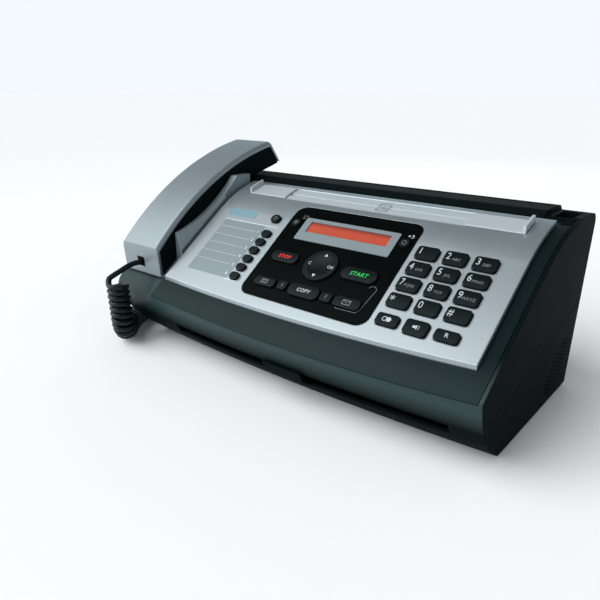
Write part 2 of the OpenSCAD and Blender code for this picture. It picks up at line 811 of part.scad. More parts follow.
module handset_cradle() {
    scoop_pos = [-88.2, 241.7];
    scoop_r = 148;
    wall_x = handset_x[1] + 0.5;
    color([0.5, 0.54, 0.56]) difference() {
        union() {
            along_x(cradle_x0, cradle_x1) panel_band(deck_d, deck_d + cradle_t, -66, 50);
            // Side wall, leaning towards the handset
            intersection() {
                along_x(wall_x, cradle_x1) panel_band(deck_d, 14, -50, 39);
                union() {
                    on_panel(0, -60, deck_d) translate([0, 75, 0]) rotate([90, 0, 0])
                        linear_extrude(90) cradle_section(wall_x);
                    along_x(wall_x, cradle_x1) translate([5, 0]) square([60, 142]);
                }
            }
            // Rest for the earpiece
            along_x(handset_c - 17, handset_c + 17) difference() {
                polygon([[40, 110], [40, 134.3], [51.5, 137.4], [51.5, 110]]);
                under_panel(deck_d);
            }
        }
        // Finger scoop in the side wall
        rod(wall_x - 1, cradle_x1 + 1, scoop_pos[0], scoop_pos[1], scoop_r, $fn = arc_fn);
        hook_window();
        // Clearance round the housing's side wall and hinge boss
        translate([side_wall_x - 0.2, -80, 60]) cube([10, 20.3, 60]);
        translate([side_wall_x - 0.2, 39.5, 100]) cube([10, 20, 60]);
    }
}

// Section of the cradle's side wall, across and above the deck
module cradle_section(x) {
    polygon([[x, 0], [cradle_x1, 0], [cradle_x1, -deck_d + 0.5], [x + 1.5, 24], [x, 24]]);
}

module hook_switch() {
    color([0.05, 0.06, 0.06]) along_x(handset_c - hook_w/2, handset_c + hook_w/2)
        polygon([[hook_y[0], 112], [hook_y[0], 134.6], [hook_y[1], 136.2], [hook_y[1], 112]]);
}

module cord_socket() {
    color([0.04, 0.04, 0.04]) difference() {
        translate(socket_pos) cube(socket_size);
        translate(socket_pos + [-1, 2.5, 1.5]) cube([9, 9, 8]);
    }
}

// ---- handset cord ----

// Rings of a tube along points, each ring square to the route
function tube_rings(pts, r, ref, sides) = [for (i = [0:len(pts) - 1])
    let (t = pts[min(i + 1, len(pts) - 1)] - pts[max(i - 1, 0)],
        u = cross(t, ref)/norm(cross(t, ref)), v = cross(u, t)/norm(t))
    [for (k = [0:sides - 1]) pts[i] + r*(u*cos(360*k/sides) + v*sin(360*k/sides))]];

// One closed tube of even thickness along points; ref is never along the route
module tube(pts, r, ref, sides = 10) {
    rings = tube_rings(pts, r, ref, sides);
    last = (len(pts) - 1)*sides;
    polyhedron([for (ring = rings) for (p = ring) p], concat(
        [[for (k = [0:sides - 1]) k]],
        [for (i = [0:len(pts) - 2]) for (k = [0:sides - 1])
            [i*sides + k, (i + 1)*sides + k, (i + 1)*sides + (k + 1) % sides, i*sides + (k + 1) % sides]],
        [[for (k = [sides - 1:-1:0]) last + k]]));
}

module handset_cord() {
    color([0.03, 0.03, 0.03]) {
        tube(strand_pts, cord_d/2, [1, 0, 0]);
        tube(tail_pts, cord_d/2, [0, 0, 1]);
    }
}

module cord_coil() {
    color([0.03, 0.03, 0.03]) tube(coil_pts, coil_d/2, [1, 1, 0], 12);
}

// ---- print works ----

// Bearing hole of a shaft in a chassis side plate
module shaft_hole(pos) {
    translate(pos) circle(shaft_r + shaft_play);
}

module chassis() {
    floor_z = foot_h + wall;
    color([0.6, 0.61, 0.6]) {
        for (x = [-chassis_x, chassis_x - chassis_t]) along_x(x, x + chassis_t) difference() {
            intersection() {
                under_panel(-18);
                polygon([[-50, floor_z], [-70, 32], [-70, 120], [43, 120], [43, floor_z]]);
            }
            shaft_hole(platen_pos);
            shaft_hole(supply_pos);
            shaft_hole(takeup_pos);
        }
        // Cross bars under the rollers
        for (p = cross_bars) along_x(-chassis_x + chassis_t, chassis_x - chassis_t)
            translate([p[0] - p[2]/2, p[1] - p[3]/2]) square([p[2], p[3]]);
    }
}

module platen_roller() {
    color([0.12, 0.12, 0.13]) {
        rod(-roll_x, roll_x, platen_pos[0], platen_pos[1], platen_r);
        rod(-gear_x[1], roll_x - fine, platen_pos[0], platen_pos[1], shaft_r);
        rod(roll_x - fine, chassis_x + 1, platen_pos[0], platen_pos[1], shaft_r);
        gear(-gear_x[1], -gear_x[0], platen_pos[0], platen_pos[1], platen_teeth, motor_dir);
    }
}

// A spool between the side plates, with its film wound to radius r
module spool(pos, r, x_end) {
    core_r = 7;
    rod(-roll_x, roll_x, pos[0], pos[1], core_r);
    rod(-roll_x + 4, roll_x - 4, pos[0], pos[1], r);
    rod(-x_end, chassis_x + 1, pos[0], pos[1], shaft_r);
}

module supply_spool() {
    color([0.08, 0.08, 0.09]) spool(supply_pos, film_r, chassis_x + 1);
}

module takeup_spool() {
    used_film_r = 10;
    color([0.1, 0.1, 0.11]) {
        spool(takeup_pos, used_film_r, gear_x[1]);
        gear(-gear_x[1], -gear_x[0], takeup_pos[0], takeup_pos[1], takeup_teeth,
            mesh_phase(takeup_dir, platen_teeth, motor_dir, takeup_teeth));
    }
}

module motor_gear() {
    color([0.85, 0.84, 0.78]) {
        gear(-gear_x[1], -gear_x[0], motor_pos[0], motor_pos[1], motor_teeth,
            mesh_phase(motor_dir, platen_teeth, motor_dir, motor_teeth));
        rod(-gear_x[1] - 6, -gear_x[1] + fine, motor_pos[0], motor_pos[1], 1.5);
    }
}

module drive_motor() {
    motor_len = 24;
    bracket_w = 48;
    color([0.5, 0.51, 0.52]) difference() {
        union() {
            rod(-gear_x[1] - 1 - motor_len, -gear_x[1] - 1, motor_pos[0], motor_pos[1], motor_r);
            along_x(-gear_x[1] - 3, -gear_x[1] - 1)
                translate([motor_pos[0] - bracket_w/2, foot_h + wall])
                    square([bracket_w, motor_pos[1] - foot_h - wall]);
        }
        rod(-gear_x[1] - 7, -gear_x[1], motor_pos[0], motor_pos[1], 1.55);
    }
}

module print_head() {
    z1 = platen_pos[1] - platen_r - 0.5;
    color([0.55, 0.5, 0.42]) along_x(-chassis_x + chassis_t, chassis_x - chassis_t) {
        translate([platen_pos[0] - 2, z1 - 3]) square([4, 3]);
        translate([platen_pos[0] - 9, z1 - 5.5]) square([18, 2.5 + fine]);
    }
}

module scan_sensor() {
    color([0.1, 0.1, 0.1]) {
        along_x(-chassis_x + 2, chassis_x - 2) translate([18, 104]) square([16, 12]);
        for (x = [-100, 0, 100]) along_x(x - 3, x + 3) intersection() {
            under_panel(lid_d);
            translate([23, 115.9]) square([6, 20]);
        }
    }
}

module main_board() {
    main_board_w = 210;
    jack = [23.2, 16.4, 14];
    inlet = [14.2, 20.4, 11];
    color([0.1, 0.35, 0.2]) {
        translate([-main_board_w/2, -40, board_z]) cube([main_board_w, back_y - wall + 39, board_t]);
        // Line jack and mains inlet
        color([0.08, 0.08, 0.08]) {
            difference() {
                translate([-103.6, back_y - 16, board_z + 1.5]) cube(jack);
                for (x = [-101.8, -90.8]) translate([x, back_y - 8, board_z + 4]) cube([9, 12, 8]);
            }
            difference() {
                translate([62.4, back_y - 20, board_z + 1.5]) cube(inlet);
                translate([64.4, back_y - 10, board_z + 3.5]) cube([10.2, 14, 7]);
            }
        }
        for (p = [[-60, 10, 12, 9], [-20, 45, 26, 3], [30, 30, 18, 3], [60, 0, 22, 14]])
            translate([p[0], p[1], board_z + 1.5]) cube([p[2], p[2], p[3]]);
    }
}

module loudspeaker() {
    basket_r = 22;
    magnet_r = 11;
    face_x = half_w - wall;
    y = grille_c[0] - 4;
    color([0.1, 0.1, 0.1]) {
        rod(face_x - 4, face_x, y, grille_c[1], basket_r);
        rod(face_x - 14, face_x - 4 + fine, y, grille_c[1], magnet_r);
    }
}

// ---- nodes ----

lower_housing();
upper_housing();
lid_shell();
panel_plate();
display_insert();
display_module();
document_table();
guide_left();
guide_right();
handset_cradle();
handset_shell();
handset_base();
handset_cord();
cord_coil();
cord_socket();
hook_switch();
key_board();
chassis();
platen_roller();
supply_spool();
takeup_spool();
print_head();
scan_sensor();
drive_motor();
motor_gear();
main_board();
loudspeaker();
rubber_feet();
nav_key();
for (k = keys) key_at(k[0]);
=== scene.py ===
import bpy
import bmesh
import json
from math import atan2, cos, pi, radians, sin
from mathutils import Matrix, Vector


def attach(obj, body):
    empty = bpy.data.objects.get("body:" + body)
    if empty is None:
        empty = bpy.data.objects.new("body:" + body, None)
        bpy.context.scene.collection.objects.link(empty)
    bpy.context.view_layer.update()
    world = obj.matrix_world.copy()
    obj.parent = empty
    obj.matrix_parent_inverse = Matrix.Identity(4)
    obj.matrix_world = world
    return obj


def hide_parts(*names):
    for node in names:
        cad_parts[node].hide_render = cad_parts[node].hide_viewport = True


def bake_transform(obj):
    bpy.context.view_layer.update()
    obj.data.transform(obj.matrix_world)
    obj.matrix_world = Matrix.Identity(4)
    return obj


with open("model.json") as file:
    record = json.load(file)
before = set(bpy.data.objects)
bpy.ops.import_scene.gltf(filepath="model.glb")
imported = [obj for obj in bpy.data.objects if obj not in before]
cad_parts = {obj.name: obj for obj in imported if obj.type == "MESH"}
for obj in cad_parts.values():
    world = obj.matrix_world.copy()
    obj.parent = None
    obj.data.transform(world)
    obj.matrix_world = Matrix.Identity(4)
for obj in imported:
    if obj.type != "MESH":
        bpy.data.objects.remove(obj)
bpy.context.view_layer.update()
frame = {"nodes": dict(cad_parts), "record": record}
nodes = frame["nodes"]
print("frame loaded:", len(nodes), "nodes")

mm = 0.001

def addObject(name, data):
    made = bpy.data.objects.new(name, data)
    bpy.context.scene.collection.objects.link(made)
    return made

def addAimed(name, data, place, back):
    # a camera or a lamp at place, with back pointing away from what it looks at
    made = addObject(name, data)
    made.location = place
    made.rotation_mode = "QUATERNION"
    made.rotation_quaternion = back.to_track_quat("Z", "Y")
    return made

camera = {
    "place": (0.28946, -0.37276, 0.22027),
    "azimuth": 39.97,      # degrees from the front towards the right
    "elevation": 19.83,
    "lens": 35.25,
    "sensorWidth": 36,
    "clipStart": 0.01,
}

def makeCamera(c):
    az, el = radians(c["azimuth"]), radians(c["elevation"])
    back = Vector((sin(az) * cos(el), -cos(az) * cos(el), sin(el)))
    data = bpy.data.cameras.new("camera")
    data.lens = c["lens"]
    data.sensor_width = c["sensorWidth"]
    data.clip_start = c["clipStart"]
    bpy.context.scene.camera = addAimed("camera", data, c["place"], back)

makeCamera(camera)


class Sock:
    # wraps a node's output so that sums on values add Math nodes
    def __init__(self, owner, socket):
        self.owner, self.socket = owner, socket

    def math(self, operation, a, b=None):
        return self.owner.node("Math", {"operation": operation}, {0: a, 1: b})

    def __add__(self, other):
        return self.math("ADD", self, other)

    def __radd__(self, other):
        return self.math("ADD", other, self)

    def __mul__(self, other):
        return self.math("MULTIPLY", self, other)

    def __rmul__(self, other):
        return self.math("MULTIPLY", other, self)

    def __gt__(self, other):
        return self.math("GREATER_THAN", self, other)

    def __lt__(self, other):
        return self.math("LESS_THAN", self, other)

    def __abs__(self):
        return self.math("ABSOLUTE", self)


class Nodes:
    # adds nodes to the node tree of a material or of the world
    def __init__(self, tree):
        self.tree = tree

    def give(self, socket, value):
        # links a Sock or sets a plain value; None leaves the socket alone
        if isinstance(value, Sock):
            self.tree.links.new(value.socket, socket)
        elif value is not None:
            socket.default_value = value

    def node(self, kind, settings, inputs, output=0):
        made = self.tree.nodes.new("ShaderNode" + kind)
        for key, value in settings.items():
            setattr(made, key, value)
        for key, value in inputs.items():
            self.give(made.inputs[key], value)
        return Sock(self, made.outputs[output])

    def fade(self, value, start, end, first, last, curve="LINEAR"):
        # goes from first to last while value goes from start to end
        return self.node("MapRange", {"interpolation_type": curve},
                         {0: value, 1: start, 2: end, 3: first, 4: last})


class Finish(Nodes):
    # one material: a Principled shader, its uniform values, and what varies over its surface
    def __init__(self, name, **uniform):
        self.material = bpy.data.materials.new(name)
        self.material.use_nodes = True
        super().__init__(self.material.node_tree)
        self.shader = next(n for n in self.tree.nodes if n.type == "BSDF_PRINCIPLED")
        for socket, value in uniform.items():
            self.feed(socket, value)

    def feed(self, socket, value):
        self.give(self.shader.inputs[socket], value)

    def place(self):
        return self.node("TexCoord", {}, {}, "Object")

    def coord(self, axis):
        # place along "X", "Y" or "Z", in metres
        return self.node("SeparateXYZ", {}, {0: self.place()}, axis)

    def noise(self, scale, detail):
        return self.node("TexNoise", {}, {"Vector": self.place(), "Scale": scale, "Detail": detail})

    def mix(self, factor, a, b):
        # 6 and 7 are the Mix node's two colours, and 2 is the colour that comes out
        a, b = (v if isinstance(v, Sock) else (*v, 1) for v in (a, b))
        return self.node("Mix", {"data_type": "RGBA"}, {0: factor, 6: a, 7: b}, 2)


studio = {
    "floorSize": 60.0,
    "sky": (0.90, 0.95, 1.0),
    "skyPower": 1.0,
    "zenithPower": 0.20,         # share of the sky's power that is left high up
    "skyFade": (0.10, 0.75),     # sines of the heights where the sky starts to darken and is darkest
    # the broad lamp: direction it comes from, spread in degrees, power
    "sunFrom": (-0.46, -0.58, 0.67),
    "sunSpread": 66,
    "sunPower": 3.1,
    # name: place, aim, width, height, power
    "lamps": {
        "rearStrip": ((-0.5, 1.3, 0.7), (0, 0, 0.12), 0.8, 0.25, 1),
        "frontCard": ((-0.75, -1.0, 0.12), (0, -0.05, 0.05), 1.3, 0.22, 4),
    },
}

def makeLamps(c):
    for name, (place, aim, width, height, power) in c["lamps"].items():
        data = bpy.data.lights.new(name, "AREA")
        data.shape = "RECTANGLE"
        data.size, data.size_y, data.energy = width, height, power
        addAimed(name, data, place, Vector(place) - Vector(aim))
    broad = bpy.data.lights.new("broadLamp", "SUN")
    broad.angle, broad.energy = radians(c["sunSpread"]), c["sunPower"]
    addAimed("broadLamp", broad, c["sunFrom"], Vector(c["sunFrom"]))

def makeSky(c):
    world = bpy.data.worlds.new("world")
    bpy.context.scene.world = world
    world.use_nodes = True
    sky = Nodes(world.node_tree)
    upward = sky.node("SeparateXYZ", {}, {0: sky.node("TexCoord", {}, {}, "Generated")}, "Z")
    power = sky.fade(upward, *c["skyFade"], c["skyPower"], c["skyPower"] * c["zenithPower"], "SMOOTHSTEP")
    background = sky.tree.nodes["Background"]
    sky.give(background.inputs["Color"], (*c["sky"], 1))
    sky.give(background.inputs["Strength"], power)

makeLamps(studio)
makeSky(studio)
bpy.context.scene.view_settings.view_transform = "Standard"
print("camera, lamps and sky made")


# name: colour, second colour, roughness low/high, metallic, grain scale, grain strength,
# specular level, radius of the softened edges in mm
plastics = {
    "housingBlack": ((0.0030, 0.0056, 0.0058), (0.0042, 0.0074, 0.0077), (0.45, 0.55), 0, 900, 0.06,
                     0.006, 1.2),
    "lidBlack": ((0.0040, 0.0090, 0.0096), (0.0058, 0.0120, 0.0126), (0.32, 0.40), 0, 900, 0.05, 0.030, 0.5),
    "silverPaint": ((0.29, 0.335, 0.355), (0.32, 0.365, 0.385), (0.30, 0.36), 0.70, 2600, 0.07, 0.5, 1.1),
    "handsetSilver": ((0.205, 0.24, 0.255), (0.235, 0.27, 0.285), (0.34, 0.42), 0.50, 2600, 0.07, 0.4, 1.6),
    "insertBlack": ((0.0016, 0.0022, 0.0021), (0.0024, 0.0032, 0.0030), (0.14, 0.20), 0, 300, 0.01,
                    0.014, 0.3),
    "displayGrey": ((0.16, 0.195, 0.21), (0.19, 0.225, 0.24), (0.35, 0.45), 0.3, 1500, 0.04, 0.5, 0.3),
    "tableGrey": ((0.36, 0.41, 0.43), (0.40, 0.45, 0.47), (0.32, 0.42), 0.1, 1500, 0.04, 0.5, 0.4),
    "cradleGrey": ((0.20, 0.25, 0.27), (0.24, 0.29, 0.31), (0.35, 0.45), 0.4, 1500, 0.04, 0.4, 0.8),
    "keyBlack": ((0.0030, 0.0050, 0.0050), (0.0044, 0.0070, 0.0070), (0.24, 0.32), 0, 1200, 0.04,
                 0.085, 0.45),
    "cordBlack": ((0.0030, 0.0062, 0.0068), (0.0048, 0.0085, 0.0092), (0.30, 0.38), 0, 1500, 0.05, 0.22, 0),
    "boardGreen": ((0.02, 0.10, 0.04), (0.03, 0.14, 0.06), (0.35, 0.5), 0, 600, 0.05, 0.5, 0),
    "zincSteel": ((0.40, 0.41, 0.41), (0.48, 0.49, 0.49), (0.32, 0.45), 0.95, 700, 0.04, 0.5, 0.3),
    "rollerRubber": ((0.010, 0.010, 0.011), (0.017, 0.017, 0.018), (0.55, 0.7), 0, 900, 0.1, 0.4, 0),
    "filmBlack": ((0.006, 0.006, 0.009), (0.010, 0.010, 0.014), (0.18, 0.28), 0, 500, 0.02, 0.5, 0),
    "ceramic": ((0.38, 0.34, 0.27), (0.44, 0.40, 0.33), (0.4, 0.5), 0, 700, 0.03, 0.5, 0),
    "gearWhite": ((0.66, 0.64, 0.56), (0.72, 0.70, 0.63), (0.4, 0.5), 0, 700, 0.03, 0.5, 0.2),
    "feetBlack": ((0.006, 0.006, 0.006), (0.011, 0.011, 0.011), (0.6, 0.75), 0, 900, 0.1, 0.4, 0.4),
    "printWhite": ((0.40, 0.44, 0.45), (0.46, 0.50, 0.51), (0.4, 0.5), 0, 900, 0.02, 0.4, 0),
    "printFaint": ((0.150, 0.165, 0.165), (0.180, 0.195, 0.195), (0.4, 0.5), 0, 900, 0.02, 0.3, 0),
    "printRed": ((0.72, 0.020, 0.012), (0.80, 0.035, 0.020), (0.4, 0.5), 0, 900, 0.02, 0.3, 0),
    "printGreen": ((0.015, 0.42, 0.060), (0.025, 0.50, 0.090), (0.4, 0.5), 0, 900, 0.02, 0.3, 0),
    "trimBright": ((0.62, 0.67, 0.69), (0.68, 0.73, 0.75), (0.3, 0.4), 0.3, 900, 0.02, 0.5, 0),
    "cardGrey": ((0.17, 0.21, 0.225), (0.195, 0.235, 0.25), (0.30, 0.40), 0.3, 900, 0.02, 0.5, 0),
    "labelBlue": ((0.14, 0.24, 0.30), (0.16, 0.27, 0.33), (0.3, 0.4), 0, 900, 0.01, 0.5, 0),
    "labelPale": ((0.55, 0.57, 0.57), (0.60, 0.62, 0.62), (0.4, 0.5), 0, 900, 0.01, 0.5, 0),
    "floorPale": ((0.955, 0.965, 0.97), (0.965, 0.975, 0.98), (0.6, 0.7), 0, 40, 0.01, 0.2, 0),
}

# what all plastics share
plasticSurface = {
    "specularTint": (0.72, 0.95, 1.0, 1),
    "cloudScale": 24,
    "cloudDetail": 3,
    "grainDetail": 1,
    "grainDepth": 0.2 * mm,
    "edgeSamples": 4,
}

# the housings' side walls and top are matt; a satin gloss fades in over their bowed front, where their base
# colour is also lightened as a painted sheen
satinAndPaintedSheen = {
    "finishes": {"housingBlack": 1, "lidBlack": 0.33},    # strength on each finish
    "gloss": 0.40,
    "rough": 0.34,
    # painted sheen: the lighter base colour that comes with the gloss
    "tone": (0.018, 0.038, 0.038),
    # distance from the middle, y and height, in metres: where the gloss is whole and where it ends
    "sides": (0.18215, 0.18245),
    "front": (-0.070, -0.055),
    "top": (0.056, 0.074),
    "foot": (0.045, 0.030),
}

def addSatin(finish, base, c, share):
    places = {"sides": abs(finish.coord("X")), "front": finish.coord("Y"), "top": finish.coord("Z"),
              "foot": finish.coord("Z")}
    for name, value in places.items():
        share = finish.fade(value, *c[name], 1, 0) * share
    finish.feed("Coat Weight", share * c["gloss"])
    finish.feed("Coat Roughness", c["rough"])
    # painted sheen: the base colour turns towards the lighter tone where the gloss is
    finish.feed("Base Color", finish.mix(share, base, c["tone"]))

# the sockets and chips stand above the main board's green laminate
boardParts = {
    "finish": "boardGreen",
    "laminateTop": 0.0097,    # metres
    "tone": (0.012, 0.012, 0.013),
}

def darkenParts(finish, base, c):
    finish.feed("Base Color", finish.mix(finish.coord("Z") > c["laminateTop"], base, c["tone"]))

def makePlastic(c, name, low, high, rough, metallic, grain, strength, specular, edge):
    finish = Finish(name, Metallic=metallic, **{"Specular IOR Level": specular,
                                                "Specular Tint": c["specularTint"]})
    cloud = finish.noise(c["cloudScale"], c["cloudDetail"])
    base = finish.mix(cloud, low, high)
    finish.feed("Base Color", base)
    finish.feed("Roughness", cloud * (rough[1] - rough[0]) + rough[0])
    # the light sees the edges rounded
    soft = finish.node("Bevel", {"samples": c["edgeSamples"]}, {"Radius": edge * mm}) if edge else None
    finish.feed("Normal", finish.node("Bump", {}, {"Height": finish.noise(grain, c["grainDetail"]),
                                                   "Strength": strength, "Distance": c["grainDepth"],
                                                   "Normal": soft}))
    if name in satinAndPaintedSheen["finishes"]:
        addSatin(finish, base, satinAndPaintedSheen, satinAndPaintedSheen["finishes"][name])
    if name == boardParts["finish"]:
        darkenParts(finish, base, boardParts)
    return finish.material

finishes = {name: makePlastic(plasticSurface, name, *values) for name, values in plastics.items()}

# backlit liquid crystal: warm orange, a little uneven, with fine upright bands
displayOrange = {
    "roughness": 0.3,
    "specular": 0.3,
    "glowPower": 0.14,
    "cloudScale": 30,
    "cloudDetail": 2,
    "cloudShare": 0.7,
    "bandScale": 160,
    "bandShare": 0.15,
    # dark and pale tone, and the tone in the shade
    "base": ((0.26, 0.032, 0.013), (0.34, 0.048, 0.020), (0.05, 0.008, 0.006)),
    "glow": ((0.90, 0.080, 0.016), (1.0, 0.14, 0.04), (0.22, 0.02, 0.01)),
    # the bezel shades the top: heights, in metres, where the shade starts and is whole, and its share
    "shade": (0.1148, 0.1170),
    "shadeShare": 0.8,
}

def makeDisplayOrange(c):
    finish = Finish("displayOrange", Roughness=c["roughness"], **{"Emission Strength": c["glowPower"],
                                                                  "Specular IOR Level": c["specular"]})
    cloud = finish.noise(c["cloudScale"], c["cloudDetail"])
    bands = finish.node("TexWave", {"wave_type": "BANDS", "bands_direction": "X"},
                        {"Vector": finish.place(), "Scale": c["bandScale"]}, 1)
    tone = cloud * c["cloudShare"] + bands * c["bandShare"]
    shade = finish.fade(finish.coord("Z"), *c["shade"], 0, c["shadeShare"])
    for socket, name in (("Base Color", "base"), ("Emission Color", "glow")):
        dark, pale, shaded = c[name]
        finish.feed(socket, finish.mix(shade, finish.mix(tone, dark, pale), shaded))
    return finish.material

finishes["displayOrange"] = makeDisplayOrange(displayOrange)

slotFinish = {
    "housing_black": "housingBlack", "lid_black": "lidBlack", "silver": "silverPaint",
    "insert_black": "insertBlack", "display_grey": "displayGrey", "table_grey": "tableGrey",
    "cradle_grey": "cradleGrey", "key_black": "keyBlack", "cord_black": "cordBlack",
    "board_green": "boardGreen", "steel": "zincSteel", "roller_rubber": "rollerRubber",
    "film_black": "filmBlack", "ceramic": "ceramic", "gear_white": "gearWhite",
    "feet_black": "feetBlack",
}
ownFinish = {"handset_shell": "handsetSilver"}    # nodes whose finish isn't their slot's
slotOf = {part["node"]: part["material_slot"] for part in frame["record"]["subparts"]}

for nodeName, node in nodes.items():
    for materialSlot in node.material_slots:
        materialSlot.material = finishes[ownFinish.get(nodeName, slotFinish[slotOf[nodeName]])]
print("finishes made:", len(finishes))

def addPiece(name, mesh, finish):
    made = addObject(name, mesh)
    mesh.materials.clear()
    mesh.materials.append(finishes[finish])
    return made

def meshObject(name, bm, finish):
    mesh = bpy.data.meshes.new(name)
    bmesh.ops.recalc_face_normals(bm, faces=bm.faces[:])
    bm.to_mesh(mesh)
    bm.free()
    return addPiece(name, mesh, finish)

def meshOfCurve(name, curve):
    # the mesh of a curve or a text, whose own object is only needed while it's made
    line = addObject(name + "Line", curve)
    mesh = bpy.data.meshes.new_from_object(line)
    bpy.data.objects.remove(line)
    return mesh

def makeFloor(size):
    bm = bmesh.new()
    bmesh.ops.create_grid(bm, x_segments=1, y_segments=1, size=size / 2)
    floor = meshObject("floor", bm, "floorPale")

makeFloor(studio["floorSize"])


cordValues = {
    "diameter": 5 * mm,
    "roundSteps": 2,             # how finely the tube's round section is divided
    "coilOuter": 20 * mm,
    "pitch": 5.25 * mm,
    "turnPoints": 14,            # points on each turn of the coil
    "routeSteps": 6,             # points from one chosen point of the strand or tail to the next
    "axisSteps": 60,             # the same on the coil's axis, before they are spaced evenly
    "coilStart": (-0.8, -0.6, 0),    # side of the axis where the coil begins
    # route of the straight strand, the coil's axis and the tail to the wall socket
    "strand": [(-153.7, -69.7, 71), (-153.9, -77, 71.2), (-154.3, -84, 69.9), (-155, -91, 67.2),
               (-156, -97.5, 64.6), (-157, -102.5, 61.8)],
    "coil": [(-150, -99, 58), (-149.4, -99, 46), (-148.6, -99, 35), (-148.4, -98.8, 26),
             (-149.9, -97.2, 18.5), (-153.6, -93.5, 12.8), (-159, -88, 10.4), (-166, -80.5, 10.3),
             (-173, -72, 10.3), (-180, -61, 10.3), (-186, -47, 10.3), (-190, -32, 10.3)],
    "tail": [(-192.5, -24, 5), (-193, -15, 7.4), (-191.5, -6, 11.4), (-188, 3, 16.2),
             (-183, 11, 20.4), (-176.5, 17, 23.2), (-170, 19.8, 24), (-166, 20, 24)],
}

def smoothRoute(points, steps):
    # a Catmull-Rom curve through the points
    ends = [points[0] * 2 - points[1]] + points + [points[-1] * 2 - points[-2]]
    route = []
    for a, b, c, d in zip(ends, ends[1:], ends[2:], ends[3:]):
        for k in range(steps):
            t = k / steps
            route.append(0.5 * (2 * b + (c - a) * t + (2 * a - 5 * b + 4 * c - d) * t * t
                                + (3 * b - a - 3 * c + d) * t ** 3))
    return route + [points[-1]]

def evenRoute(route, spacing):
    # the same route with points at an even spacing
    out, carried = [route[0]], 0.0
    for a, b in zip(route, route[1:]):
        length = (b - a).length
        while carried + length >= spacing:
            a = a + (b - a) * ((spacing - carried) / length)
            length = (b - a).length
            carried = 0.0
            out.append(a.copy())
        carried += length
    return out

def helixRoute(axis, radius, pitch, start):
    # winds round the axis, beginning on the side that start points to
    step = (axis[1] - axis[0]).length
    side, route = start.normalized(), []
    for i, point in enumerate(axis):
        ahead = (axis[min(i + 1, len(axis) - 1)] - axis[max(i - 1, 0)]).normalized()
        side = (side - ahead * side.dot(ahead)).normalized()
        turn = -2 * pi * i * step / pitch
        route.append(point + radius * (side * cos(turn) + ahead.cross(side) * sin(turn)))
    return route

def cordTube(name, route, diameter, roundSteps):
    curve = bpy.data.curves.new(name, "CURVE")
    curve.dimensions = "3D"
    curve.bevel_depth = diameter / 2
    curve.bevel_resolution = roundSteps
    curve.use_fill_caps = True
    spline = curve.splines.new("POLY")
    spline.points.add(len(route) - 1)
    for knot, point in zip(spline.points, route):
        knot.co = (*point, 1)
    return meshOfCurve(name, curve)

def makeCord(c):
    radius = (c["coilOuter"] - c["diameter"]) / 2
    strand, coil, tail = ([Vector(p) * mm for p in c[key]] for key in ("strand", "coil", "tail"))
    axis = evenRoute(smoothRoute(coil, c["axisSteps"]), c["pitch"] / c["turnPoints"])
    helix = helixRoute(axis, radius, c["pitch"], Vector(c["coilStart"]))
    lead = smoothRoute(strand + [helix[1]], c["routeSteps"])[:-1]
    leave = smoothRoute([helix[-2]] + tail, c["routeSteps"])[1:]
    route = lead + helix[1:-1] + leave
    tube = cordTube("handsetCord", route, c["diameter"], c["roundSteps"])
    cord = addPiece("handsetCord", tube, "cordBlack")
    for face in cord.data.polygons:
        face.use_smooth = True
    length = sum((b - a).length for a, b in zip(route, route[1:]))
    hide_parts("handset_cord", "cord_coil")
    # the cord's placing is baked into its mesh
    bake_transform(cord)
    print("cord length", round(length, 3), "m,", len(route), "points")

makeCord(cordValues)


panel = {
    "slope": 35.5,               # degrees, up to where the crown starts
    "crownStart": (-5.0, 115.45),    # y and z in mm
    "crownRadius": 124.0,        # mm
}
slope = radians(panel["slope"])
along = Vector((0, cos(slope), sin(slope)))
outward = Vector((0, -sin(slope), cos(slope)))

def panelPlace(x, s, lift=0.0):
    # x, s and lift in mm, s counted up the panel from where its crown starts; z points out of it
    angle = slope - max(s, 0) / panel["crownRadius"]
    y, z = panel["crownStart"]
    if s > 0:
        y += panel["crownRadius"] * (sin(slope) - sin(angle))
        z += panel["crownRadius"] * (cos(angle) - cos(slope))
    else:
        y, z = y + s * cos(slope), z + s * sin(slope)
    y, z = y - lift * sin(angle), z + lift * cos(angle)
    return Matrix.Translation(Vector((x, y, z)) * mm) @ Matrix.Rotation(angle, 4, "X")

keyTops = {
    "lift": 0.06 * mm,           # from a key's top to its print
    "crown": 90 * mm,            # the tops' radius along the slope
}

def keyPlace(key, x=0.0, s=0.0):
    # on the key's top, at x and s in mm from its middle
    points = [v.co for v in nodes[key].data.vertices]
    across = [p.x for p in points]
    up = [p.dot(along) for p in points]
    top = max(p.dot(outward) for p in points)
    middle = (Vector(((min(across) + max(across)) / 2 + x * mm, 0, 0))
              + along * ((min(up) + max(up)) / 2 + s * mm) + outward * (top + keyTops["lift"]))
    return Matrix.Translation(middle) @ Matrix.Rotation(slope, 4, "X")

def followCrown(verts):
    # lowers a print where its key's top curves away
    for v in verts:
        v.co.z -= v.co.y ** 2 / (2 * keyTops["crown"])

lettering = {
    "depth": 0.08 * mm,
    "curveSteps": 3,
    "spacing": 6,                # how many times the strokes' swell the letters' spacing grows
}

def printText(name, words, size, place, finish, body, crowned=False, lean=0.0, swell=0.0, width=1.0):
    text = bpy.data.curves.new(name, "FONT")
    text.body = words
    text.size = size
    text.shear = lean
    text.align_x = "CENTER"
    text.align_y = "CENTER"
    text.extrude = lettering["depth"] / 2
    text.offset = swell * size
    text.space_character = 1 + lettering["spacing"] * swell
    text.resolution_u = lettering["curveSteps"]
    mesh = meshOfCurve(name, text)
    mesh.transform(Matrix.Translation((0, 0, lettering["depth"] / 2)) @ Matrix.Diagonal((width, 1, 1, 1)))
    if crowned:
        followCrown(mesh.vertices)
    mesh.transform(place)
    made = addPiece(name, mesh, finish)
    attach(made, body)

shapeDetail = {
    "roundSegments": 28,
    "cornerSegments": 5,
}

